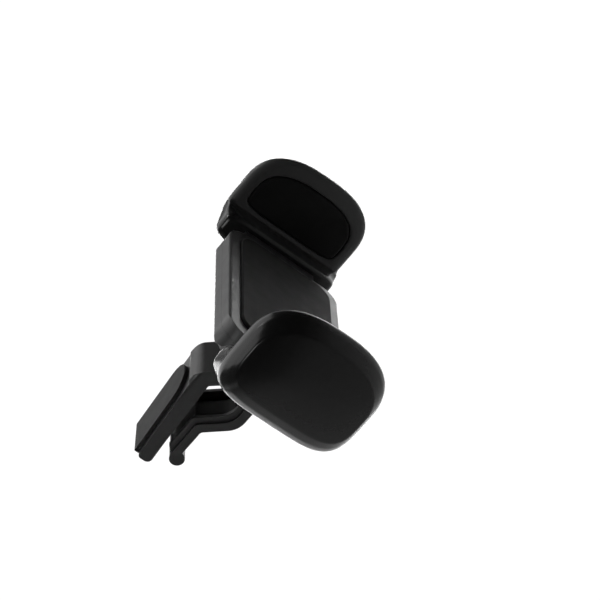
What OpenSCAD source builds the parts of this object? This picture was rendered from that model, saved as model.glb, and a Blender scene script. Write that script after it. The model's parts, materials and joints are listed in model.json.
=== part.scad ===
// Air vent phone holder: a sprung clip for a vent blade, a ball joint, and a cradle
// whose two jaws slide together on a pinion.
// Millimetres. Origin at the centre of the face that a phone rests on.
// +X to the right of the cradle, +Y back to the vent, +Z up.

/* [Grip] */
// Distance between the two jaw pads, the width of the phone that is held
grip_w = 70; // [66:1:76]
// Travel of each jaw inwards from that width
jaw_close = 5; // [2:0.5:6]
// Travel of each jaw outwards from that width
jaw_open = 9; // [4:0.5:10]

/* [Jaws] */
// Height of a jaw
jaw_h = 31.4; // [26:0.2:36]
// Reach of a jaw's nose in front of the phone rest
jaw_reach = 16.9; // [13:0.1:20]
// Thickness of a jaw, from its pad to the top of its domed outer face
jaw_t = 8; // [7:0.1:10]
// How far a jaw's arched back goes behind the phone rest
jaw_back = 8.6; // [7:0.1:9]
// Length of a jaw's foot behind the phone
foot_len = 5.6; // [4:0.1:7]
// Width of the hard rim in front of the jaw pad
rim_w = 3.6; // [2.5:0.1:5]
// Depth of the jaw pad's seat
pad_seat = 1.6; // [1:0.1:2]

/* [Housing] */
// Height of the housing
housing_h = 30.4; // [30:0.2:36]
// Thickness of the housing, front and rear cover together
housing_t = 6.4; // [6.4:0.1:8]
// Wall of the front cover
front_wall = 1.2; // [1:0.1:1.8]
// Thickness of the phone rest pad that stands proud of the front cover
rest_t = 0.8; // [0.6:0.1:1.5]
// Thickness of an arm
arm_t = 2.8; // [2:0.1:3]
// Height beside an arm that its return spring takes
spring_lane = 3.8; // [3.4:0.1:4.5]

/* [Rack and pinion] */
// Gear module
gear_m = 0.75; // [0.7:0.01:0.78]
// Teeth of the pinion, an even number
gear_teeth = 12; // [10:2:14]
// Radius of the pinion's axle
axle_r = 1.2; // [0.9:0.1:1.5]

/* [Ball joint] */
// Radius of the ball
ball_r = 4.5; // [4:0.1:4.6]
// Wall of the ball seat
seat_wall = 0.7; // [0.5:0.05:0.8]
// Wall of the friction dish in front of the seat
dish_wall = 0.6; // [0.5:0.05:0.7]
// Radius of the neck
neck_r = 2.2; // [1.8:0.1:2.6]
// Wall of the collar nut, before its flutes
collar_wall = 1.6; // [1.4:0.1:2.5]
// Flutes round the collar nut
flutes = 20; // [12:1:24]

/* [Vent clip] */
// Width of the clip
clip_w = 13.4; // [12:0.2:16]
// Distance from the phone rest to the clip's front wall
clip_y = 18.4; // [18.4:0.1:22]
// Length of the shoulder on top of the clip
shoulder_len = 5.8; // [5:0.1:8]
// Length of the upper prong, from the front wall to its tip
prong_len = 28; // [24:0.5:34]
// Thickness of the clip's front wall
wall_t = 2.4; // [2:0.1:3]
// Height of the thumb pad above the prong
thumb_h = 1; // [0.6:0.1:2]
// Thickness of the lever's plate at its edge
plate_t = 2; // [1.6:0.1:2.4]
// Height of the lever's side rails above its underside
rail_h = 3.4; // [3:0.1:4]
// Radius of the hinge pin
pin_r = 0.9; // [0.7:0.05:1.1]
// Length of the finger tab below the lever
tab_len = 6.8; // [4:0.1:9]

/* [Hidden] */

// Clearances
fit_gap = 0.05;
slide_gap = 0.2;
sphere_gap = 0.15;

// Housing
cover_y = rest_t;
cavity_y0 = cover_y + front_wall;
arm_y0 = cavity_y0 + slide_gap;
arm_y1 = arm_y0 + arm_t;
cavity_y1 = arm_y1 + slide_gap;
housing_y1 = cover_y + housing_t;
split_y = (cavity_y0 + cavity_y1) / 2;
pad_x = grip_w / 2;
foot_x = pad_x - foot_len;
housing_x = foot_x - jaw_close - 0.4;
end_wall = 1.4;
side_wall = 1.8;
cavity_x = housing_x - end_wall;
cavity_z = housing_h / 2 - side_wall;
arm_half = cavity_z - spring_lane;
corner_r = 6;
rear_edge_r = 3;
rest_half_x = housing_x - 3;
rest_half_z = housing_h / 2 - 3;

// Rack and pinion
gear_pitch = PI * gear_m;
pitch_r = gear_m * gear_teeth / 2;
base_r = pitch_r * cos(20);
gear_add = 0.65;
gear_ded = 0.7;
rack_add = 0.5;
rack_ded = 0.85;
backlash = 0.12;
rack_root = pitch_r + rack_ded;
bar_tip = jaw_open + 3;
root_in = housing_x - 0.6;

// Return springs
spring_z = arm_half + 1.8;
spring_r = 0.95;
spring_wire = 0.3;
post_r = 0.8;
post_x = cavity_x - 2.6;
lug_x = cavity_x - jaw_open - 2.6;
spring_turns = 14;

// Ball joint
seat_in = ball_r + sphere_gap;
seat_out = seat_in + seat_wall;
dish_in = seat_out + sphere_gap;
dish_out = dish_in + dish_wall;
cup_in = dish_out + sphere_gap;
cup_floor = 0.85;
ball_y = cavity_y1 + cup_floor + cup_in;
cup_wall = 1.65;
cup_r = cup_in + cup_wall;
cup_y1 = ball_y + 2.3;
collar_in = cup_r + 0.1;
collar_r = collar_in + collar_wall;
cup_flange_r = collar_r - 0.3;
cup_flange_t = 0.9;
collar_y0 = housing_y1 + 1.2;
collar_y1 = ball_y + 3.3;
collar_bevel = 2.2;
mouth_r = 5.9;
seat_y0 = -ball_r + 0.5;
seat_y1 = ball_r - 2.4;
dish_y1 = -1.6;

// Clip
half_w = clip_w / 2;
wall_y = clip_y + wall_t;
tip_y = clip_y + prong_len;
shoulder_y = clip_y + shoulder_len;
shoulder_top = 8.35;
prong_top = 7.85;
prong_fall = 0.077;
pad_y0 = shoulder_y + 1.3;
grip_y0 = shoulder_y + 3.6;
grip_y1 = tip_y - 2;
wall_low = -2.4;
shank_r = 1.8;
coil_r = 1.3;
coil_wire = 0.25;
pin_y = clip_y + 2.2;
pin_z = -4.1;
boss_r = 2.3;
lug_in = 3.3;
lug_out = half_w - 1.9;
rail_in = half_w - 1.7;
rail_out = half_w - 0.6;
grip_seat_half = rail_in - 0.3;
under_z = -7.6;
floor_t = 1.2;
grip_half = 2.7;
bead_r = 1.75;
ramp_y0 = clip_y + 9.4;
ramp_y1 = clip_y + 14.8;
ramp_rise = 6.2;
bead_y = tip_y - 4.7;
bead_z = under_z + ramp_rise + 0.2;
lining_y0 = clip_y + 7.4;
lining_y1 = tip_y - 7;
lining_t = 1;

// Screws
screw_x = 12.5;
screw_head_r = 1.9;
screw_r = 0.95;

// Jaw form
jaw_mid = -5;
foot_back = cover_y + housing_t - 0.3;
ring_n = 44;

// Points and directions
function unit(v) = v / norm(v);
function left_of(v) = [-v[1], v[0]];
function flip(list) = [for (i = [len(list) - 1:-1:0]) list[i]];
function flat(v) = [v[0], v[1]];

// Arc of radius r that rounds the corner b between a and c
function arc(a, b, c, r, n = 5) = r <= 0 ? [b] :
    let(u = unit(a - b), v = unit(c - b), turn = acos(u * v))
    let(middle = b + unit(u + v) * r / sin(turn / 2), reach = r / tan(turn / 2))
    let(p = b + u * reach - middle, q = b + v * reach - middle, sweep = 180 - turn)
    [for (i = [0:n]) middle + (p * sin((1 - i / n) * sweep) + q * sin(i / n * sweep)) / sin(sweep)];

// Closed outline through [x, y, corner radius] points
function rounded(pts) = [for (i = [0:len(pts) - 1])
    let(a = pts[(i + len(pts) - 1) % len(pts)], b = pts[i], c = pts[(i + 1) % len(pts)])
    each arc(flat(a), flat(b), flat(c), b[2])];

function rounded_box(half_a, half_b, r) =
    rounded([[-half_a, -half_b, r], [half_a, -half_b, r], [half_a, half_b, r], [-half_a, half_b, r]]);

// The path moved h to its left, corner by corner
function raised(path, h) = [for (i = [0:len(path) - 1])
    let(before = unit(flat(path[max(i, 1)]) - flat(path[max(i, 1) - 1])))
    let(last = len(path) - 1, j = min(i, last - 1))
    let(after = unit(flat(path[j + 1]) - flat(path[j])))
    flat(path[i]) + h * (left_of(before) + left_of(after)) / (1 + before * after)];

// Strip between two heights above the path, its corners rounded by the path's radii
function strip(path, low, high) =
    let(a = raised(path, low), b = raised(path, high), n = len(path) - 1)
    rounded(concat(
        [for (i = [0:n]) [a[i][0], a[i][1], path[i][2]]],
        [for (i = [n:-1:0]) [b[i][0], b[i][1], path[i][2]]]));

// Closed curve in a plane of constant x: its front and back halves have their own fullness
function outline(x, front, mid, back, half, full_front, full_back) = [for (k = [0:ring_n - 1])
    let(c = cos(360 * k / ring_n), s = sin(360 * k / ring_n))
    let(n = c < 0 ? full_front : full_back, reach = c < 0 ? mid - front : back - mid)
    [x, mid + reach * sign(c) * pow(abs(c), 2 / n), half * sign(s) * pow(abs(s), 2 / n)]];

// Profile in the plane of y and z, drawn out along x
module along_x(x0, x1) {
    translate([x0, 0, 0])
        rotate([90, 0, 90])
            linear_extrude(x1 - x0)
                children();
}

// Profile in the plane of x and z, drawn out along y
module along_y(y0, y1) {
    translate([0, y1, 0])
        rotate([90, 0, 0])
            linear_extrude(y1 - y0)
                children();
}

// Profile of radius and y, turned round the y axis
module turned() {
    rotate([-90, 0, 0])
        rotate_extrude($fn = 72)
            children();
}

module rod(r, y0, y1, x = 0, z = 0) {
    translate([x, y0, z])
        rotate([-90, 0, 0])
            cylinder(h = y1 - y0, r = r, $fn = 40);
}

module cross_rod(r, x0, x1, y, z) {
    translate([x0, y, z])
        rotate([0, 90, 0])
            cylinder(h = x1 - x0, r = r, $fn = 40);
}

// Solid through a row of rings with the same number of points
module loft(rings) {
    n = len(rings[0]);
    m = len(rings) - 1;
    sides = [for (i = [0:m - 1]) for (k = [0:n - 1])
        let(a = i * n + k, b = i * n + (k + 1) % n)
        each [[a, b, b + n], [a, b + n, a + n]]];
    polyhedron(
        points = [for (ring = rings) each ring],
        faces = concat([[for (k = [0:n - 1]) k]], [[for (k = [n - 1:-1:0]) m * n + k]],
            [for (f = sides) flip(f)]));
}

// Wire of radius r along a path, its section turned towards the given direction
module wire(path, r, towards, sides = 6) {
    last = len(path) - 1;
    loft([for (i = [0:last])
        let(t = unit(path[min(i + 1, last)] - path[max(i - 1, 0)]))
        let(n = unit(towards - (towards * t) * t), b = cross(t, n))
        [for (k = [0:sides - 1])
            path[i] + r * (n * cos(360 * k / sides) + b * sin(360 * k / sides))]]);
}

// Clip

module clip_frame() {
    color([0.16, 0.16, 0.17])
    difference() {
        union() {
            intersection() {
                along_x(-half_w, half_w)
                    polygon(frame_profile());
                along_y(clip_y - 1, tip_y + 1)
                    polygon(frame_section());
            }
            for (side = [-1, 1])
                frame_lug(side);
        }
        rod(shank_r + fit_gap, clip_y - 1, wall_y + 1);
        cross_rod(pin_r + 0.02, -half_w, half_w, pin_y, pin_z);
        for (side = [-1, 1])
            boss_relief(side);
        along_x(-grip_seat_half, grip_seat_half)
            polygon(upper_grip_profile(0.1));
    }
}

// Room in the wall's lower corner for the lever's boss
module boss_relief(side) {
    x0 = side > 0 ? lug_out + 0.05 : -half_w - 1;
    cross_rod(boss_r + slide_gap, x0, x0 + half_w + 0.95 - lug_out, pin_y, pin_z);
}

// Height of the prong's sloping top
function prong_z(y) = prong_top - prong_fall * (y - shoulder_y);

// Front wall, shoulder and upper prong seen from the side
function frame_profile() = rounded([
    [clip_y, wall_low, 0.5],
    [clip_y, 4.4, 2],
    [clip_y + 2.5, 7.25, 4],
    [shoulder_y - 1.6, shoulder_top, 4],
    [shoulder_y, shoulder_top, 0.4],
    [shoulder_y + 0.9, prong_z(shoulder_y + 0.9), 0.5],
    [tip_y, prong_z(tip_y), 1],
    [tip_y, 2.9, 1.2],
    [tip_y - 6.8, 3.4, 0],
    [wall_y + 2.1, 4.25, 0.6],
    [wall_y, 1.75, 0.6],
    [wall_y, wall_low, 0.5]]);

// The clip's section across, with its upper edges rounded
function frame_section() = rounded([
    [-half_w, -8, 0],
    [half_w, -8, 0],
    [half_w, shoulder_top + 0.1, 1.4],
    [-half_w, shoulder_top + 0.1, 1.4]]);

module frame_lug(side) {
    x0 = side > 0 ? lug_in : -lug_out;
    along_x(x0, x0 + lug_out - lug_in)
        polygon([[clip_y, 0.5], [clip_y + 0.1, pin_z], [pin_y + 2.1, pin_z],
            [pin_y + 2.1, -1.5], [wall_y - 0.1, 0.5]]);
    cross_rod(2.1, x0, x0 + lug_out - lug_in, pin_y, pin_z);
}

// Raised pad on the prong, round at the front and square at the tip
module thumb_pad() {
    pad_half = half_w - 1.2;
    color([0.2, 0.2, 0.21])
    difference() {
        intersection() {
            along_x(-pad_half, pad_half)
                polygon(rounded([
                    [pad_y0, prong_z(pad_y0) - 1, 0],
                    [pad_y0, prong_z(pad_y0) + thumb_h, 0.4],
                    [tip_y - 0.1, prong_z(tip_y) + thumb_h, 0.4],
                    [tip_y - 0.1, prong_z(tip_y) - 1, 0]]));
            linear_extrude(20)
                polygon(rounded([
                    [-pad_half, tip_y, 0.6],
                    [-pad_half, pad_y0, pad_half - 0.3],
                    [pad_half, pad_y0, pad_half - 0.3],
                    [pad_half, tip_y, 0.6]]));
        }
        along_x(-half_w, half_w)
            polygon(frame_profile());
    }
}

// Height of the face of the lining under the upper prong
function grip_z(y) = 3.2 - 0.039 * (y - grip_y0);

// Soft lining under the upper prong, grown by gap where it is cut out of the prong
function upper_grip_profile(gap = 0) = rounded([
    [grip_y0 - gap, grip_z(grip_y0) - 8 * gap, 0],
    [grip_y1 + gap, grip_z(grip_y1) - 8 * gap, 0],
    [grip_y1 + gap, grip_z(grip_y1) + 1.6 + gap, 0],
    [grip_y0 - gap, grip_z(grip_y0) + 1.6 + gap, 0]]);

module upper_grip() {
    teeth = 8;
    pitch = (grip_y1 - grip_y0 - 1) / teeth;
    color([0.1, 0.1, 0.1])
    difference() {
        along_x(-grip_seat_half + 0.1, grip_seat_half - 0.1)
            polygon(upper_grip_profile());
        for (i = [0:teeth - 1])
            let(y = grip_y0 + 1 + i * pitch)
                cross_rod(0.3, -half_w, half_w, y, grip_z(y) - 0.03);
    }
}

module hinge_pin() {
    color([0.75, 0.75, 0.77])
    cross_rod(pin_r, -half_w + 0.1, half_w - 0.1, pin_y, pin_z);
}

// Coil round the pin, with one leg on the front wall and one in the lever's channel
module torsion_spring() {
    coil_x = lug_in - 0.65;
    turns = 6.25;
    steps = 60;
    coil = [for (i = [0:steps]) let(a = 360 * turns * i / steps)
        [-coil_x + 2 * coil_x * i / steps, pin_y + coil_r * cos(a), pin_z - coil_r * sin(a)]];
    upper_leg = [[-coil_x, wall_y + coil_wire + 0.03, 0.9]];
    lower_leg = [[coil_x, pin_y + 4.2, under_z + floor_t + coil_wire + 0.03]];
    color([0.7, 0.7, 0.72])
    wire(concat(upper_leg, coil, lower_leg), coil_wire, [1, 0, 0]);
}

module ball_stud() {
    color([0.12, 0.12, 0.12])
    difference() {
        union() {
            translate([0, ball_y, 0])
                sphere(r = ball_r, $fn = 64);
            rod(neck_r, ball_y, clip_y);
            rod(neck_r + 1.4, clip_y - 0.7, clip_y);
            rod(shank_r, clip_y - 0.1, wall_y - 0.1);
        }
        rod(0.8, clip_y - 1.4, wall_y + 1);
    }
}

module stud_screw() {
    color([0.75, 0.75, 0.77])
    difference() {
        union() {
            rod(1.9, wall_y, wall_y + 1.2);
            rod(0.75, clip_y - 1.2, wall_y + 0.1);
        }
        cross_recess(wall_y + 0.5, wall_y + 2, 0, 0);
    }
}

// Cross recess in a screw head
module cross_recess(y0, y1, x, z) {
    for (turn = [0, 90])
        translate([x, y0, z])
            rotate([0, turn, 0])
                translate([-1, 0, -0.2])
                    cube([2, y1 - y0, 0.4]);
}

// Lever

// Underside of the lever from its front edge to its bead, as [y, z, corner radius]
function lever_path() = [
    [clip_y + 1.2, under_z, 0],
    [ramp_y0, under_z, 5],
    [ramp_y1, under_z + ramp_rise, 1],
    [bead_y, under_z + ramp_rise + 0.1, 0]];

module clip_lever() {
    color([0.14, 0.14, 0.15])
    difference() {
        union() {
            difference() {
                union() {
                    along_x(-half_w, half_w)
                        polygon(strip(lever_path(), 0, plate_t));
                    along_x(-half_w, half_w)
                        polygon(tab_profile());
                }
                along_x(-rail_in, rail_in)
                    polygon(strip(lever_path(), floor_t, plate_t + 2));
                cross_rod(boss_r + 0.1, -lug_out - 0.2, lug_out + 0.2, pin_y, pin_z);
            }
            for (side = [-1, 1])
                lever_side(side);
            cross_rod(bead_r, -half_w, half_w, bead_y, bead_z);
        }
        cross_rod(pin_r + fit_gap, -half_w - 1, half_w + 1, pin_y, pin_z);
    }
}

// Rail on the lever's edge and the boss that carries the pin
module lever_side(side) {
    rail_x = side > 0 ? rail_in : -rail_out;
    boss_x = side > 0 ? rail_in : -half_w;
    along_x(rail_x, rail_x + rail_out - rail_in)
        intersection() {
            polygon(strip(lever_path(), 0.5, rail_h));
            polygon([[clip_y, under_z - 1], [bead_y + 0.7, under_z - 1], [bead_y + 0.3, bead_z + 1.6],
                [bead_y - 1.7, bead_z + rail_h], [clip_y, 6]]);
        }
    cross_rod(boss_r, boss_x, boss_x + half_w - rail_in, pin_y, pin_z);
    along_x(boss_x, boss_x + half_w - rail_in)
        polygon([[pin_y - 1, under_z + 0.5], [pin_y + 2.6, under_z + 0.5],
            [pin_y + 2.2, pin_z], [pin_y - 1, pin_z]]);
}

// Finger tab that hangs below the hinge
function tab_profile() = rounded([
    [clip_y + 1.2, under_z + 0.6, 0],
    [clip_y + 1.5, under_z - 3, 3],
    [clip_y + 0.6, under_z - tab_len, 0.7],
    [clip_y + 2.3, under_z - tab_len - 0.5, 0.7],
    [clip_y + 3.2, under_z - 3, 3],
    [clip_y + 3.1, under_z + 0.6, 0]]);

// Soft lining in the lever's channel
module lower_grip() {
    color([0.1, 0.1, 0.1])
    intersection() {
        along_x(-grip_half, grip_half)
            polygon(strip(lever_path(), floor_t + 0.02, floor_t + lining_t));
        translate([-half_w, lining_y0, -10])
            cube([clip_w, lining_y1 - lining_y0, 20]);
    }
}

// Ball joint

// Shell between two spheres round the ball's centre, kept between y0 and y1 from it
module ball_shell(r_in, r_out, y0, y1) {
    translate([0, ball_y, 0])
        turned()
            intersection() {
                difference() {
                    circle(r = r_out, $fn = 72);
                    circle(r = r_in, $fn = 72);
                }
                translate([0, y0])
                    square([r_out + 1, y1 - y0]);
            }
}

module ball_seat() {
    color([0.85, 0.85, 0.82])
    ball_shell(seat_in, seat_out, seat_y0, seat_y1);
}

module friction_dish() {
    color([0.15, 0.15, 0.15])
    ball_shell(dish_in, dish_out, -dish_out, dish_y1);
}

module socket_cup() {
    color([0.13, 0.13, 0.13])
    difference() {
        turned()
            difference() {
                union() {
                    translate([0, cavity_y1])
                        square([cup_r, cup_y1 - cavity_y1]);
                    translate([0, housing_y1])
                        square([cup_flange_r, cup_flange_t]);
                }
                translate([0, ball_y])
                    circle(r = cup_in, $fn = 72);
                polygon([[0, ball_y + 2], [5.8, ball_y + 2], [6.4, cup_y1 + 1], [0, cup_y1 + 1]]);
            }
        for (turn = [45, 135])
            translate([0, ball_y - 1.8, 0])
                rotate([0, turn, 0])
                    translate([-cup_r - 1, 0, -0.6])
                        cube([2 * cup_r + 2, 10, 1.2]);
    }
}

module collar_nut() {
    color([0.12, 0.12, 0.12])
    difference() {
        turned()
            polygon([
                [collar_in, collar_y0],
                [collar_r, collar_y0],
                [collar_r, collar_y1 - collar_bevel],
                [collar_r - collar_bevel, collar_y1],
                [mouth_r, collar_y1],
                [mouth_r + 0.6, cup_y1 + 0.3],
                [collar_in, cup_y1 + 0.3]]);
        for (i = [0:flutes - 1])
            rotate([0, 360 * i / flutes, 0])
                rod(0.55, collar_y0 - 1, collar_y1 + 1, 0, collar_r + 0.15);
    }
}

// Housing

// Outer form of the housing between two depths
module housing_form(y0, y1) {
    intersection() {
        along_y(y0, y1)
            polygon(rounded_box(housing_x, housing_h / 2, corner_r));
        translate([0, 0, -housing_h])
            linear_extrude(2 * housing_h)
                polygon(rounded([
                    [-housing_x, cover_y, 0.8],
                    [housing_x, cover_y, 0.8],
                    [housing_x, housing_y1, rear_edge_r + 1],
                    [-housing_x, housing_y1, rear_edge_r + 1]]));
        along_x(-housing_x, housing_x)
            polygon(rounded([
                [cover_y, -housing_h / 2, 0.8],
                [housing_y1, -housing_h / 2, rear_edge_r - 1.2],
                [housing_y1, housing_h / 2, rear_edge_r - 1.2],
                [cover_y, housing_h / 2, 0.8]]));
    }
}

// Room inside the covers, with the openings that the arms slide through
module housing_cavity() {
    along_y(cavity_y0, cavity_y1)
        polygon(rounded_box(cavity_x, cavity_z, corner_r - side_wall));
    along_y(cavity_y0, cavity_y1)
        square([2 * housing_x + 2, 2 * (arm_half + slide_gap)], center = true);
}

module rear_cover() {
    color([0.12, 0.12, 0.12])
    difference() {
        union() {
            difference() {
                housing_form(split_y, housing_y1);
                housing_cavity();
            }
            for (side = [-1, 1]) {
                rod(2.3, split_y, cavity_y1 + 0.1, side * screw_x);
                rod(post_r, arm_y0 + 0.4, cavity_y1 + 0.1, -side * post_x, side * spring_z);
            }
        }
        rod(cup_r + fit_gap, split_y, housing_y1 + 1);
        for (side = [-1, 1]) {
            rod(screw_r + 0.2, split_y - 1, housing_y1 + 1, side * screw_x);
            rod(screw_head_r + 0.2, housing_y1 - 1.2, housing_y1 + 1, side * screw_x);
        }
    }
}

module front_cover() {
    color([0.12, 0.12, 0.12])
    difference() {
        union() {
            difference() {
                housing_form(cover_y, split_y);
                housing_cavity();
            }
            for (side = [-1, 1])
                rod(2.3, cavity_y0 - 0.1, split_y, side * screw_x);
        }
        rod(axle_r + 0.02, cavity_y0 - 0.9, cavity_y0 + 1);
        for (side = [-1, 1])
            rod(screw_r + fit_gap, cavity_y0 - 0.5, split_y + 1, side * screw_x);
        along_y(cover_y - 1, cover_y + 0.3)
            polygon(rounded_box(rest_half_x + 0.1, rest_half_z + 0.1, corner_r - 2));
    }
}

// Soft pad that the phone's back rests on
module rest_pad() {
    color([0.1, 0.1, 0.1])
    along_y(0, cover_y + 0.3)
        polygon(rounded_box(rest_half_x, rest_half_z, corner_r - 2));
}

module pinion_axle() {
    color([0.75, 0.75, 0.77])
    rod(axle_r, cavity_y0 - 0.85, cavity_y1 - 0.02);
}

module cover_screws() {
    color([0.3, 0.3, 0.32])
    for (side = [-1, 1])
        difference() {
            union() {
                rod(screw_head_r, housing_y1 - 1.18, housing_y1 - 0.2, side * screw_x);
                rod(screw_r, cavity_y0 - 0.3, housing_y1 - 1, side * screw_x);
            }
            cross_recess(housing_y1 - 0.8, housing_y1 + 1, side * screw_x, 0);
        }
}

// Rack and pinion

// Angle in degrees that the involute turns between the base circle and radius r
function involute(r) = let(a = acos(min(1, base_r / r))) tan(a) * 180 / PI - a;

// Half the angle that a pinion tooth takes at radius r
function tooth_half(r) = (gear_pitch / 2 - backlash) / 2 / pitch_r * 180 / PI
    + involute(pitch_r) - involute(max(r, base_r));

function on_circle(r, a) = [r * cos(a), r * sin(a)];

function pinion_outline() =
    let(tip = pitch_r + gear_add, root = pitch_r - gear_ded, mid = (base_r + tip) / 2)
    let(flank = [root, base_r, mid, pitch_r + gear_add / 2, tip])
    [for (i = [0:gear_teeth - 1]) let(a = 360 * i / gear_teeth)
        each concat(
            [for (r = flank) on_circle(r, a - tooth_half(r))],
            [for (r = flip(flank)) on_circle(r, a + tooth_half(r))])];

module pinion() {
    color([0.85, 0.85, 0.82])
    difference() {
        along_y(arm_y0 + 0.1, arm_y1 - 0.1)
            polygon(pinion_outline());
        rod(axle_r + fit_gap, 0, housing_y1);
    }
}

// Rack teeth that point down to the pinion, each a trapezium with straight flanks
function rack_outline() =
    let(first = -ceil((bar_tip - gear_pitch) / gear_pitch), slope = tan(20))
    let(last = ceil(jaw_close / gear_pitch), thin = (gear_pitch / 2 - backlash) / 2)
    [for (i = [first:last]) let(x = (i + 0.5) * gear_pitch)
        each [
            [x - thin - rack_ded * slope, rack_root],
            [x - thin + rack_add * slope, pitch_r - rack_add],
            [x + thin - rack_add * slope, pitch_r - rack_add],
            [x + thin + rack_ded * slope, rack_root]]];

module right_arm() {
    color([0.15, 0.15, 0.15])
    union() {
        along_y(arm_y0, arm_y1)
            polygon(concat(
                [[-bar_tip, arm_half], [-bar_tip, rack_root]],
                rack_outline(),
                [[root_in, rack_root], [root_in, -arm_half],
                    [pad_x + 1.6, -arm_half], [pad_x + 1.6, arm_half]]));
        along_y(arm_y0 + 0.2, arm_y0 + 1)
            polygon([[lug_x - 1.4, arm_half - 0.1], [lug_x - 1, spring_z + 1],
                [lug_x + 1, spring_z + 1], [lug_x + 2, arm_half - 0.1]]);
        rod(post_r, arm_y0 + 0.5, arm_y1 - 0.2, lug_x, spring_z);
    }
}

module left_arm() {
    half_turn() right_arm();
}

// Half a turn about the y axis takes each right piece to its left twin
module half_turn() {
    rotate([0, 180, 0])
        children();
}

module right_spring() {
    x0 = -post_x + post_r + spring_wire;
    x1 = lug_x - post_r - spring_wire;
    steps = spring_turns * 8;
    color([0.7, 0.7, 0.72])
    wire([for (i = [0:steps]) let(a = 45 * i)
        [x0 + (x1 - x0) * i / steps, split_y + spring_r * cos(a), spring_z + spring_r * sin(a)]],
        spring_wire, [1, 0, 0]);
}

module left_spring() {
    half_turn() right_spring();
}

// Jaws

// Rings of the jaw from its inner face to the top of its dome
function jaw_rings() =
    let(x = pad_x, nose = -jaw_reach, back = jaw_back, half = jaw_h / 2, top = pad_x + jaw_t)
    [
        outline(x + 0.15, nose + 2.4, jaw_mid, back - 0.9, half - 1.8, 2.6, 4.5),
        outline(x + 0.45, nose + 1, jaw_mid, back - 0.3, half - 0.7, 2.6, 4.5),
        outline(x + 1.1, nose + 0.1, jaw_mid, back, half - 0.1, 2.6, 4.5),
        outline(x + 1.9, nose, jaw_mid, back, half, 2.6, 4.5),
        outline(x + 3.2, nose + 0.6, jaw_mid, back - 0.6, half - 0.3, 2.6, 4.4),
        outline(x + 4.6, nose + 1.5, jaw_mid, back - 2.1, half - 1, 2.5, 4.2),
        outline(top - 2, nose + 2.5, jaw_mid, back - 4.4, half - 1.9, 2.4, 4),
        outline(top - 1.1, nose + 5.3, jaw_mid, back - 7.2, half - 4.7, 2.4, 3.6),
        outline(top - 0.4, nose + 7.9, jaw_mid, back - 10.2, half - 8.2, 2.3, 3),
        outline(top, nose + 10.1, jaw_mid, back - 12.3, half - 12.3, 2, 2)];

// Rings of the foot that goes behind the phone
function foot_rings() =
    let(x = foot_x, mid = foot_back / 2, back = foot_back, half = jaw_h / 2 - 1.2)
    [
        outline(x, 1.2, mid, back - 1.4, half - 1.4, 6, 4),
        outline(x + 0.5, 0.7, mid, back - 0.5, half - 0.5, 6, 4),
        outline(x + 1.4, 0.5, mid, back - 0.1, half - 0.1, 6, 4),
        outline(x + 2.4, 0.5, mid, back, half, 6, 4),
        outline(pad_x + 2, 0.5, mid, back, half, 6, 4)];

module right_jaw() {
    color([0.08, 0.08, 0.08])
    difference() {
        union() {
            loft(jaw_rings());
            loft(foot_rings());
        }
        translate([foot_x - 1, arm_y0 - fit_gap, -arm_half - fit_gap])
            cube([pad_x + 1.6 + fit_gap - foot_x + 1, arm_t + 2 * fit_gap,
                2 * (arm_half + fit_gap)]);
        loft([for (x = [pad_x - 1, pad_x + pad_seat]) jaw_pad_ring(x, 0.1)]);
    }
}

// Outline of the jaw pad, grown by gap where it is cut out of the jaw
function jaw_pad_ring(x, gap = 0) = outline(x, -jaw_reach + rim_w + 0.4 - gap, jaw_mid,
    -0.6 + gap, jaw_h / 2 - rim_w + 0.3 + gap, 2.6, 6);

module right_jaw_pad() {
    color([0.06, 0.06, 0.06])
    loft([
        jaw_pad_ring(pad_x, -0.3),
        jaw_pad_ring(pad_x + 0.3),
        jaw_pad_ring(pad_x + pad_seat - 0.02)]);
}

module left_jaw() {
    half_turn() right_jaw();
}

module left_jaw_pad() {
    half_turn() right_jaw_pad();
}

clip_frame();
thumb_pad();
upper_grip();
hinge_pin();
torsion_spring();
ball_stud();
stud_screw();
clip_lever();
lower_grip();
ball_seat();
friction_dish();
socket_cup();
collar_nut();
rear_cover();
front_cover();
rest_pad();
pinion_axle();
cover_screws();
pinion();
right_arm();
right_jaw();
right_jaw_pad();
right_spring();
left_arm();
left_jaw();
left_jaw_pad();
left_spring();
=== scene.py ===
"""Air vent phone holder, dressed for the render.

Sizes are in millimetres and turned into metres by MM, apart from the lights and the floor, whose
places and sizes are in metres.
"""
import json
import math

import bmesh
import bpy
from mathutils import Matrix, Vector


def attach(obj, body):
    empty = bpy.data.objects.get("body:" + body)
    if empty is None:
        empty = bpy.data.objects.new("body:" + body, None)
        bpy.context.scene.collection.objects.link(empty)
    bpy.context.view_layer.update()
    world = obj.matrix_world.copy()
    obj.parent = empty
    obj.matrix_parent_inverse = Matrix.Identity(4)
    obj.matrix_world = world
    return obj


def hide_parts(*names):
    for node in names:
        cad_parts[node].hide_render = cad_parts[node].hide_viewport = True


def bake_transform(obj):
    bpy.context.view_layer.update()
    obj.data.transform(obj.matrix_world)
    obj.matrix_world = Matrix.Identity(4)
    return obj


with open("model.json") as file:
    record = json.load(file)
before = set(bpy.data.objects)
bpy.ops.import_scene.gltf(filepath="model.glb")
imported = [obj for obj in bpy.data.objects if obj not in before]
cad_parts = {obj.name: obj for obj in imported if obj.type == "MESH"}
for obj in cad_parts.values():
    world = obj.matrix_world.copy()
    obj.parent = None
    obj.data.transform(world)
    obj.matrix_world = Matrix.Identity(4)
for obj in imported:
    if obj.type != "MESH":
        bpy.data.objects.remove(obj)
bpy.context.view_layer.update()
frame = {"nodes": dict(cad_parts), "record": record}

MM = 0.001

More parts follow.
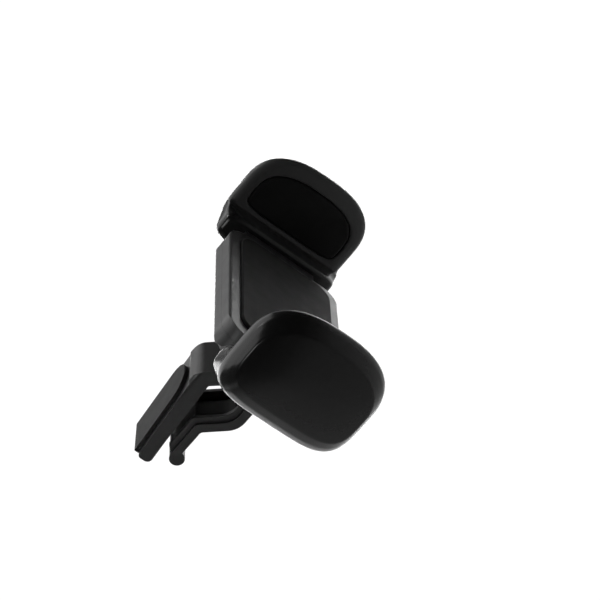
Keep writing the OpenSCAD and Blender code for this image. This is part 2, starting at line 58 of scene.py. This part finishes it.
# Camera, solved from the photograph in the part's own frame
CAMERA_MM = (-399.25, -161.43, 135.28)
CAMERA_RIGHT = (-0.02565812, -0.61326128, -0.78946328)
CAMERA_UP = (0.46320591, -0.70712323, 0.53424436)
CAMERA_BACK = (-0.88587919, -0.35197635, 0.3022097)
FOCAL_PX = 2107.4
FRAME_PX = 600
SENSOR_MM = 36
CLIP_START_M = 0.01
CLIP_END_M = 50

# Lights: name, place, aim, size, power in watts and spread in degrees
LIGHTS = (
    ("overhead", (0.45, 0.25, 0.8), (0, 0.01, 0), (1.2, 1.2), 8, 180),
    ("crease_line", (-0.67, 0.35, 0.67), (0, 0, 0), (0.25, 0.25), 1.4, 180),
    ("clip_fill", (-0.37, 0.055, 0.17), (0, 0.036, 0), (0.03, 0.03), 0.0007, 6),
    ("corner_glow", (0.95, 0.95, 0.3), (0, 0, 0), (0.6, 0.5), 3, 180),
    ("backdrop", (1.62, 0.7, 1.5), (1.62, 0.7, 0), (2.4, 2.2), 108, 40),
)

# World's light on the object, by height and by how far a direction points to SKY_SIDE:
# strength at the start, strength at the end, start and end
SKY_BY_HEIGHT = (1.1, 0.14, 0, 0.15)
SKY_BY_SIDE = (0.12, 1.0, -0.2, 0.6)
SKY_SIDE = (0.8, 0.6, 0)

# Floor
FLOOR_HALF_M = 12
FLOOR_Z_M = -0.16
FLOOR_GLOW = 1.05
FLOOR_GREY = 0.92
FLOOR_ROUGH = 0.9
FLOOR_LEVEL = 0.1

# Surfaces: noises of the colour, the roughness and the grain
MOTTLE_SCALE = 900
MOTTLE_DETAIL = 4
UNEVEN_SCALE = 260
UNEVEN_DETAIL = 3
UNEVEN_BELOW = 0.03
UNEVEN_ABOVE = 0.04
GRAIN_DETAIL = 2
GRAIN_ROUGHNESS = 0.6
BUMP_STRENGTH = 0.6

# Satin inner faces of the jaws: they end between these distances from the middle, and at the
# front between these depths behind the phone rest's face
INNER_END_MM = (35.9, 36.9)
INNER_BACK_MM = (0, 1)

# Inputs and output of a Mix node for each kind of value
MIX_SOCKETS = {"RGBA": (6, 7, 2), "FLOAT": (2, 3, 0)}

# Jaw sizes, as in the part
PAD_X = 35
JAW_REACH = 16.9
JAW_BACK = 8.6
JAW_HALF = 15.7
JAW_T = 8
JAW_MID = -5
FOOT_X = 29.4
FOOT_FRONT = 0.5
RIM_W = 3.6
PAD_SEAT = 1.6
PAD_GAP = 0.1
PAD_SINK = 1
PAD_BACK = -0.6
PAD_FRONT_EXTRA = 0.4
PAD_SIDE_EXTRA = 0.3

# Foot of a jaw: deeper and wider than in the part, so that it flows into the rim
FOOT_BACK = 8.3
FOOT_HALF = 15.3

# Fullness of the front and the back of an outline, where 2 is an ellipse
RIM_FULL = (2.6, 4.5)
FOOT_FULL = (6, 4)
PAD_FULL = (2.6, 6)

# Rings of a jaw's shell: height over the pad's face, or depth under the dome's top, then how far
# the ring lies inside the front, the back and the sides, and its fullness in front and behind
SIDE_ROWS = (
    (0.15, 2.4, 0.9, 1.8, *RIM_FULL),
    (0.45, 1, 0.3, 0.7, *RIM_FULL),
    (1.1, 0.1, 0, 0.1, *RIM_FULL),
    (1.9, 0, 0, 0, *RIM_FULL),
    (3.2, 0.6, 0.6, 0.3, 2.6, 4.4),
    (4.6, 1.5, 2.1, 1, 2.5, 4.2),
)
DOME_ROWS = (
    (2, 2.5, 4.4, 1.9, 2.4, 4),
    (1.1, 5.3, 7.2, 4.7, 2.4, 3.6),
    (0.4, 7.9, 10.2, 8.2, 2.3, 3),
    (0.05, 10.1, 12.3, 12.3, 2, 2),
    (0, 11.7, 13.4, 15.2, 2, 2),
)
DOME_STEPS = 4

# Rings of a jaw's foot: place along x, inset of the foot's outline, share of the shell's rim
FOOT_ROWS = (
    (FOOT_X, 1.4, 0),
    (FOOT_X + 0.5, 0.5, 0),
    (FOOT_X + 1.4, 0.1, 0),
    (FOOT_X + 2.4, 0, 0),
    (PAD_X - 1, 0, 0.35),
    (PAD_X + 0.6, 0, 0.75),
    (PAD_X + 1.9, 0, 1),
)

# Meshes of the jaws
RING_POINTS = 96
VOXEL_MM = 0.32
RELAX_FACTOR = 0.5
RELAX_TURNS = 6

# Eased edges: welded points, flat joins, corners that are rounded, and shading
WELD_MM = 0.002
FLAT_DEG = 1.5
CORNER_DEG = 28
EDGE_SEGMENTS = 3
SHARP_DEG = 32
WIRE_SHARP_DEG = 60
FACE_WEIGHT = 80

# Radius of each node's eased edges in millimetres, where 0 leaves its own shape
EDGE_RADIUS = {
    "clip_frame": 0.45, "thumb_pad": 0.35, "upper_grip": 0.12, "hinge_pin": 0.1,
    "ball_stud": 0.12, "stud_screw": 0.08, "clip_lever": 0.3, "lower_grip": 0.2,
    "ball_seat": 0, "friction_dish": 0, "socket_cup": 0.12, "collar_nut": 0.14,
    "rear_cover": 0.2, "front_cover": 0.2, "rest_pad": 0.25, "pinion_axle": 0,
    "cover_screws": 0.08, "pinion": 0.05, "right_arm": 0.12, "left_arm": 0.12,
    "right_jaw_pad": 0.12, "left_jaw_pad": 0.12,
}

# Springs: the bodies at their two ends, and the points between which they stretch
SPRING_ENDS = {
    "torsion_spring": ("clip", "lever", (0, 21.5, -3), (0, 24.5, -5.5)),
    "right_spring": ("cradle", "jaw_right", (-18.8, 3.6, 11.4), (9.8, 3.6, 11.4)),
    "left_spring": ("cradle", "jaw_left", (18.8, 3.6, -11.4), (-9.8, 3.6, -11.4)),
}

SLOTS = {row["node"]: row["material_slot"] for row in frame["record"]["subparts"]}
BODIES = {node: body for body, members in frame["record"]["behaviour"]["bodies"].items()
          for node in members}


# Helpers

def linked(name, data):
    """A new object with the data, in the scene."""
    item = bpy.data.objects.new(name, data)
    bpy.context.scene.collection.objects.link(item)
    return item


def grey(value):
    return (value, value, value)


def feed(tree, value, socket):
    """Links an output to a socket, or sets a plain value on it."""
    if isinstance(value, bpy.types.NodeSocket):
        tree.links.new(value, socket)
    else:
        socket.default_value = value


def maths(tree, operation, *values):
    """Result of a Math node on outputs or plain values."""
    node = tree.nodes.new("ShaderNodeMath")
    node.operation = operation
    for value, socket in zip(values, node.inputs):
        feed(tree, value, socket)
    return node.outputs["Value"]


def noise(tree, coords, scale, detail, roughness=0.5):
    node = tree.nodes.new("ShaderNodeTexNoise")
    node.inputs["Scale"].default_value = scale
    node.inputs["Detail"].default_value = detail
    node.inputs["Roughness"].default_value = roughness
    tree.links.new(coords, node.inputs["Vector"])
    return node.outputs["Fac"]


def spread(tree, value, low, high, start=0.3, end=0.7):
    """Maps a value between start and end, by default a noise, to the range from low to high."""
    node = tree.nodes.new("ShaderNodeMapRange")
    node.inputs["From Min"].default_value = start
    node.inputs["From Max"].default_value = end
    node.inputs["To Min"].default_value = low
    node.inputs["To Max"].default_value = high
    tree.links.new(value, node.inputs["Value"])
    return node.outputs["Result"]


def mixed(tree, kind, factor, first, second):
    """Two colours or two numbers, as outputs or plain values, mixed by a factor."""
    a, b, out = MIX_SOCKETS[kind]
    node = tree.nodes.new("ShaderNodeMix")
    node.data_type = kind
    feed(tree, factor, node.inputs["Factor"])
    feed(tree, first, node.inputs[a])
    feed(tree, second, node.inputs[b])
    return node.outputs[out]


def mixed_shader(tree, factor, first, second):
    """Two shaders, mixed by a factor."""
    node = tree.nodes.new("ShaderNodeMixShader")
    tree.links.new(factor, node.inputs["Fac"])
    tree.links.new(first, node.inputs[1])
    tree.links.new(second, node.inputs[2])
    return node.outputs["Shader"]


def background(tree, strength):
    """White light of the world with a strength."""
    node = tree.nodes.new("ShaderNodeBackground")
    node.inputs["Color"].default_value = (1, 1, 1, 1)
    feed(tree, strength, node.inputs["Strength"])
    return node.outputs["Background"]


# Camera, light and floor

def make_camera():
    data = bpy.data.cameras.new("camera")
    data.sensor_width = SENSOR_MM
    data.lens = SENSOR_MM * FOCAL_PX / FRAME_PX
    data.clip_start = CLIP_START_M
    data.clip_end = CLIP_END_M
    camera = linked("camera", data)
    turn = Matrix((CAMERA_RIGHT, CAMERA_UP, CAMERA_BACK)).transposed().to_4x4()
    camera.matrix_world = Matrix.Translation(Vector(CAMERA_MM) * MM) @ turn
    bpy.context.scene.camera = camera


def area_light(name, place, aim, size, power, spread_deg):
    """Soft light at a place in metres, aimed at a point."""
    data = bpy.data.lights.new(name, "AREA")
    data.shape = "RECTANGLE"
    data.size, data.size_y = size
    data.energy = power
    data.spread = math.radians(spread_deg)
    light = linked(name, data)
    light.location = place
    light.rotation_euler = (Vector(aim) - Vector(place)).to_track_quat("-Z", "Y").to_euler()


def make_world():
    """White to the eye; on the object, bright low down behind it and dim on the camera's side."""
    world = bpy.data.worlds.new("studio")
    bpy.context.scene.world = world
    world.use_nodes = True
    tree = world.node_tree
    nodes = tree.nodes
    nodes.clear()
    heading = nodes.new("ShaderNodeTexCoord").outputs["Generated"]
    height = nodes.new("ShaderNodeSeparateXYZ")
    tree.links.new(heading, height.inputs["Vector"])
    behind = nodes.new("ShaderNodeVectorMath")
    behind.operation = "DOT_PRODUCT"
    behind.inputs[1].default_value = SKY_SIDE
    tree.links.new(heading, behind.inputs[0])
    low = spread(tree, height.outputs["Z"], *SKY_BY_HEIGHT)
    side = spread(tree, behind.outputs["Value"], *SKY_BY_SIDE)
    lit = background(tree, maths(tree, "MULTIPLY", low, side))
    seen = background(tree, 1.0)
    eye = nodes.new("ShaderNodeLightPath").outputs["Is Camera Ray"]
    out = nodes.new("ShaderNodeOutputWorld")
    tree.links.new(mixed_shader(tree, eye, lit, seen), out.inputs["Surface"])


def make_floor():
    """Plain floor, evenly white to the eye from above and clear from below."""
    mesh = bpy.data.meshes.new("floor")
    corners = [(x * FLOOR_HALF_M, y * FLOOR_HALF_M, FLOOR_Z_M)
               for x, y in ((-1, -1), (1, -1), (1, 1), (-1, 1))]
    mesh.from_pydata(corners, [], [(0, 1, 2, 3)])
    floor = linked("floor", mesh)
    material = bpy.data.materials.new("floor_white")
    material.use_nodes = True
    tree = material.node_tree
    nodes = tree.nodes
    bsdf = nodes["Principled BSDF"]
    bsdf.inputs["Base Color"].default_value = (*grey(FLOOR_GREY), 1)
    bsdf.inputs["Roughness"].default_value = FLOOR_ROUGH
    bsdf.inputs["Specular IOR Level"].default_value = FLOOR_LEVEL
    glow = nodes.new("ShaderNodeEmission")
    glow.inputs["Strength"].default_value = FLOOR_GLOW
    clear = nodes.new("ShaderNodeBsdfTransparent").outputs["BSDF"]
    eye = nodes.new("ShaderNodeLightPath").outputs["Is Camera Ray"]
    below = nodes.new("ShaderNodeNewGeometry").outputs["Backfacing"]
    top = mixed_shader(tree, eye, bsdf.outputs["BSDF"], glow.outputs["Emission"])
    both = mixed_shader(tree, below, top, clear)
    tree.links.new(both, nodes["Material Output"].inputs["Surface"])
    mesh.materials.append(material)


# Materials

def side_mask(tree, coords):
    """0 on the inner faces of the jaws in front of the phone rest, 1 elsewhere."""
    place = tree.nodes.new("ShaderNodeSeparateXYZ")
    tree.links.new(coords, place.inputs["Vector"])
    away = maths(tree, "ABSOLUTE", place.outputs["X"])
    outer = spread(tree, away, 0, 1, *(edge * MM for edge in INNER_END_MM))
    behind = spread(tree, place.outputs["Y"], 0, 1, *(edge * MM for edge in INNER_BACK_MM))
    return maths(tree, "MAXIMUM", outer, behind)


def moulded(name, dark, light, rough, grain_mm, bump_mm, level=0.5, metal=0.0, inner=None):
    """Moulded or drawn surface: mottled colour, uneven roughness and a fine grain in relief.

    inner gives a second colour and roughness to the inner faces of the jaws.
    """
    material = bpy.data.materials.new(name)
    material.use_nodes = True
    tree = material.node_tree
    bsdf = tree.nodes["Principled BSDF"]
    coords = tree.nodes.new("ShaderNodeTexCoord").outputs["Object"]
    mottle = noise(tree, coords, MOTTLE_SCALE, MOTTLE_DETAIL)
    colour = mixed(tree, "RGBA", mottle, (*dark, 1), (*light, 1))
    patches = noise(tree, coords, UNEVEN_SCALE, UNEVEN_DETAIL)
    uneven = spread(tree, patches, rough - UNEVEN_BELOW, rough + UNEVEN_ABOVE)
    if inner:
        inner_colour, inner_rough = inner
        mask = side_mask(tree, coords)
        colour = mixed(tree, "RGBA", mask, (*inner_colour, 1), colour)
        uneven = mixed(tree, "FLOAT", mask, inner_rough, uneven)
    tree.links.new(colour, bsdf.inputs["Base Color"])
    tree.links.new(uneven, bsdf.inputs["Roughness"])
    grain = noise(tree, coords, 1 / (grain_mm * MM), GRAIN_DETAIL, GRAIN_ROUGHNESS)
    bump = tree.nodes.new("ShaderNodeBump")
    bump.inputs["Strength"].default_value = BUMP_STRENGTH
    bump.inputs["Distance"].default_value = bump_mm * MM
    tree.links.new(grain, bump.inputs["Height"])
    tree.links.new(bump.outputs["Normal"], bsdf.inputs["Normal"])
    bsdf.inputs["Specular IOR Level"].default_value = level
    bsdf.inputs["Metallic"].default_value = metal
    return material


SURFACES = {
    "satin_black": dict(dark=grey(0.0085), light=grey(0.0115), rough=0.42,
                        grain_mm=0.16, bump_mm=0.012),
    "gloss_black": dict(dark=grey(0.008), light=grey(0.0105), rough=0.22,
                        grain_mm=0.35, bump_mm=0.002, level=0.25, inner=(grey(0.034), 0.5)),
    "soft_black": dict(dark=grey(0.0215), light=grey(0.027), rough=0.7,
                       grain_mm=0.12, bump_mm=0.012, level=0.12),
    # rubber_black: black rubber, made darker than rubber's own colour as painted shade. It stands
    # in for the shadow of a held phone over the jaw pads, and every rubber part gets it.
    "rubber_black": dict(dark=grey(0.003), light=grey(0.005), rough=0.7,
                         grain_mm=0.2, bump_mm=0.015, level=0.15),
    "pale_plastic": dict(dark=(0.62, 0.60, 0.54), light=(0.70, 0.68, 0.62), rough=0.4,
                         grain_mm=0.3, bump_mm=0.01),
    "steel": dict(dark=(0.50, 0.50, 0.51), light=(0.62, 0.62, 0.63), rough=0.28,
                  grain_mm=0.1, bump_mm=0.004, metal=1.0),
    "dark_steel": dict(dark=grey(0.05), light=grey(0.08), rough=0.35,
                       grain_mm=0.12, bump_mm=0.006, metal=1.0),
}
MATERIALS = {name: moulded(name, **surface) for name, surface in SURFACES.items()}


# Pieces

def dressed(name, mesh, slot):
    """A mesh in the scene with the material of a slot."""
    mesh.materials.clear()
    mesh.materials.append(MATERIALS[slot])
    return linked(name, mesh)


def new_piece(node, ending, mesh):
    """Puts a mesh in the scene in place of its node, with the node's slot and on its body."""
    piece = dressed(node + ending, mesh, SLOTS[node])
    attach(piece, BODIES[node])
    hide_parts(node)
    return piece


def smooth(mesh, sharp_deg=None):
    """Shades a mesh smoothly, apart from its edges over an angle where one is given."""
    for face in mesh.polygons:
        face.use_smooth = True
    if sharp_deg:
        mesh.set_sharp_from_angle(angle=math.radians(sharp_deg))


def eased(node, radius_mm):
    """The node's own shape with its sharp edges rounded, as moulded edges are."""
    work = bmesh.new()
    work.from_mesh(frame["nodes"][node].data)
    bmesh.ops.remove_doubles(work, verts=work.verts, dist=WELD_MM * MM)
    bmesh.ops.dissolve_limit(work, angle_limit=math.radians(FLAT_DEG), verts=work.verts,
                             edges=work.edges)
    if radius_mm:
        sharp = [edge for edge in work.edges if len(edge.link_faces) == 2
                 and edge.calc_face_angle(0) > math.radians(CORNER_DEG)]
        bmesh.ops.bevel(work, geom=sharp, offset=radius_mm * MM, offset_type="OFFSET",
                        segments=EDGE_SEGMENTS, profile=0.5, affect="EDGES", clamp_overlap=True)
    mesh = bpy.data.meshes.new(node)
    work.to_mesh(mesh)
    work.free()
    smooth(mesh, SHARP_DEG)
    piece = new_piece(node, "_shell", mesh)
    if radius_mm:
        level_faces = piece.modifiers.new("level_faces", "WEIGHTED_NORMAL")
        level_faces.keep_sharp = True
        level_faces.weight = FACE_WEIGHT


def stretched(node, fixed, moving, start, end):
    """A spring in its own shape, put in place of its node with the node's material and fixed
    where it stands.
    """
    mesh = frame["nodes"][node].data.copy()
    smooth(mesh, WIRE_SHARP_DEG)
    piece = dressed(node + "_wire", mesh, SLOTS[node])
    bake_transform(piece)
    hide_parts(node)


def outline(x, front, mid, back, half, full_front, full_back):
    """Closed curve at one x, whose front and back halves have their own fullness."""
    points = []
    for k in range(RING_POINTS):
        turn = 2 * math.pi * k / RING_POINTS
        c, s = math.cos(turn), math.sin(turn)
        power = 2 / (full_front if c < 0 else full_back)
        reach = mid - front if c < 0 else back - mid
        points.append((x, mid + math.copysign(reach * abs(c) ** power, c),
                       math.copysign(half * abs(s) ** power, s)))
    return points


def eased_rows(rows, steps):
    """The rows with others between them, on one smooth Catmull-Rom curve through them all."""
    padded = [rows[0], *rows, rows[-1]]
    out = []
    for i in range(len(rows) - 1):
        before, a, b, after = padded[i:i + 4]
        for step in range(steps):
            t = step / steps
            out.append(tuple(
                0.5 * (2 * q + (r - p) * t + (2 * p - 5 * q + 4 * r - s) * t ** 2
                       + (3 * q - p - 3 * r + s) * t ** 3)
                for p, q, r, s in zip(before, a, b, after)))
    return out + [rows[-1]]


def jaw_rings():
    """The domed shell, from the pad's face to the dome's top."""
    def row(x, front_in, back_in, side_in, *fullness):
        return (x, front_in - JAW_REACH, JAW_BACK - back_in, JAW_HALF - side_in, *fullness)

    side = [row(PAD_X + height, *rest) for height, *rest in SIDE_ROWS]
    dome = [row(PAD_X + JAW_T - depth, *rest) for depth, *rest in DOME_ROWS]
    return [outline(x, front, JAW_MID, back, half, *fullness)
            for x, front, back, half, *fullness in side + eased_rows(dome, DOME_STEPS)]


def foot_rings():
    """The foot behind the phone, whose back flows into the rim of the shell."""
    rings = []
    for x, inset, share in FOOT_ROWS:
        foot = outline(x, FOOT_FRONT + inset / 2, FOOT_BACK / 2, FOOT_BACK - inset,
                       FOOT_HALF - inset, *FOOT_FULL)
        rim = outline(x, -JAW_REACH, JAW_MID, JAW_BACK, JAW_HALF, *RIM_FULL)
        rings.append([(x, max(FOOT_FRONT, foot_y + (rim_y - foot_y) * share),
                       foot_z + (rim_z - foot_z) * share)
                      for (_, foot_y, foot_z), (_, rim_y, rim_z) in zip(foot, rim)])
    return rings


def pad_ring(x):
    """Outline of the pad's seat, PAD_GAP wider than the pad."""
    return outline(x, -JAW_REACH + RIM_W + PAD_FRONT_EXTRA - PAD_GAP, JAW_MID,
                   PAD_BACK + PAD_GAP, JAW_HALF - RIM_W + PAD_SIDE_EXTRA + PAD_GAP, *PAD_FULL)


def loft(name, rings, side):
    """Closed mesh through rings, in the scene; side -1 gives the left-hand twin."""
    n = len(rings[0])
    points = [(side * x * MM, y * MM, side * z * MM) for ring in rings for x, y, z in ring]
    faces = [(i * n + k, i * n + (k + 1) % n, (i + 1) * n + (k + 1) % n, (i + 1) * n + k)
             for i in range(len(rings) - 1) for k in range(n)]
    faces.append(tuple(reversed(range(n))))
    faces.append(tuple((len(rings) - 1) * n + k for k in range(n)))
    mesh = bpy.data.meshes.new(name)
    mesh.from_pydata(points, [], faces)
    return linked(name, mesh)


def applied(piece):
    """The piece's mesh with its modifiers applied; the piece itself goes."""
    bpy.context.view_layer.update()
    view = bpy.context.evaluated_depsgraph_get()
    mesh = bpy.data.meshes.new_from_object(piece.evaluated_get(view))
    bpy.data.objects.remove(piece)
    return mesh


def boolean(piece, other, operation):
    """One object made from two, which both go."""
    step = piece.modifiers.new(operation, "BOOLEAN")
    step.operation = operation
    step.solver = "EXACT"
    step.object = other
    mesh = applied(piece)
    bpy.data.objects.remove(other)
    return linked(mesh.name, mesh)


def make_jaw(hand, side):
    """One smooth moulding: the domed shell, its foot and the seat of its pad."""
    shell = loft(hand + "_shell", jaw_rings(), side)
    foot = loft(hand + "_foot", foot_rings(), side)
    seat = loft(hand + "_seat", [pad_ring(PAD_X - PAD_SINK), pad_ring(PAD_X + PAD_SEAT)], side)
    piece = boolean(boolean(shell, foot, "UNION"), seat, "DIFFERENCE")
    remesh = piece.modifiers.new("even", "REMESH")
    remesh.mode = "VOXEL"
    remesh.voxel_size = VOXEL_MM * MM
    relax = piece.modifiers.new("relax", "SMOOTH")
    relax.factor = RELAX_FACTOR
    relax.iterations = RELAX_TURNS
    mesh = applied(piece)
    smooth(mesh)
    new_piece(hand + "_jaw", "_moulding", mesh)


make_camera()
make_world()
make_floor()
bpy.context.scene.view_settings.view_transform = "Standard"
for light_row in LIGHTS:
    area_light(*light_row)
make_jaw("right", 1)
make_jaw("left", -1)
for node_name, radius in EDGE_RADIUS.items():
    eased(node_name, radius)
for node_name, ends in SPRING_ENDS.items():
    stretched(node_name, *ends)
